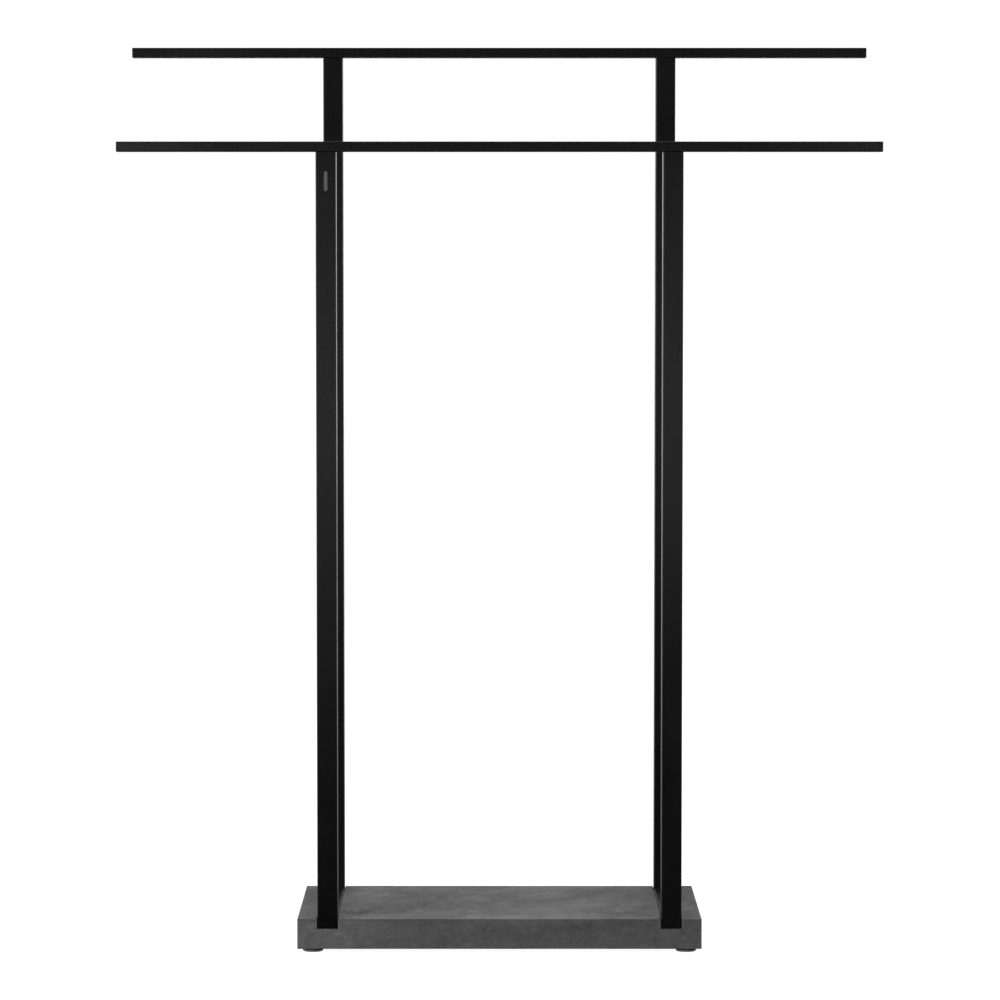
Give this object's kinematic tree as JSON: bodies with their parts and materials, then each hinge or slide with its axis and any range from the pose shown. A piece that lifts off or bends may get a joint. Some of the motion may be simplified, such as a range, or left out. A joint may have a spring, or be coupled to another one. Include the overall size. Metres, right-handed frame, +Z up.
{
  "type": "two-rail clothes stand",
  "caption": "Free-standing stand with a low front rail and a higher rear rail on a square-section steel frame, let into a flat concrete slab on round feet.",
  "frame": {"origin": "middle of the footprint, on the floor under the feet", "axes": "+Z up; +X along the rails, to the right of someone standing in front; -Y towards the front, the side with the lower rail"},
  "size_m": [0.75, 0.2, 0.9],
  "materials": {
    "black_powder_coat": "fine satin powder coat",
    "concrete": "cast, lightly mottled, matt",
    "zinc_steel": "zinc plated",
    "black_screw": "black oxide, satin",
    "foot_rubber": "grey, slightly clear, satin",
    "adhesive_film": "clear film with adhesive",
    "strip_grey": "satin"
  },
  "bodies": {
    "root": {"base_slab": "concrete", "left_sill": "black_powder_coat", "right_sill": "black_powder_coat", "left_front_upright": "black_powder_coat", "right_front_upright": "black_powder_coat", "left_rear_upright": "black_powder_coat", "right_rear_upright": "black_powder_coat", "front_rail": "black_powder_coat", "rear_rail": "black_powder_coat", "front_rail_left_cap": "black_powder_coat", "front_rail_right_cap": "black_powder_coat", "rear_rail_left_cap": "black_powder_coat", "rear_rail_right_cap": "black_powder_coat", "left_front_plug": "zinc_steel", "right_front_plug": "zinc_steel", "left_rear_plug": "zinc_steel", "right_rear_plug": "zinc_steel", "front_rail_left_spacer": "zinc_steel", "front_rail_right_spacer": "zinc_steel", "rear_rail_left_spacer": "zinc_steel", "rear_rail_right_spacer": "zinc_steel", "rail_screws": "black_screw", "base_screws": "zinc_steel", "base_washers": "zinc_steel", "left_front_foot": "foot_rubber", "right_front_foot": "foot_rubber", "left_rear_foot": "foot_rubber", "right_rear_foot": "foot_rubber", "foot_adhesive_discs": "adhesive_film", "blank_strip": "strip_grey"}
  },
  "joints": []
}
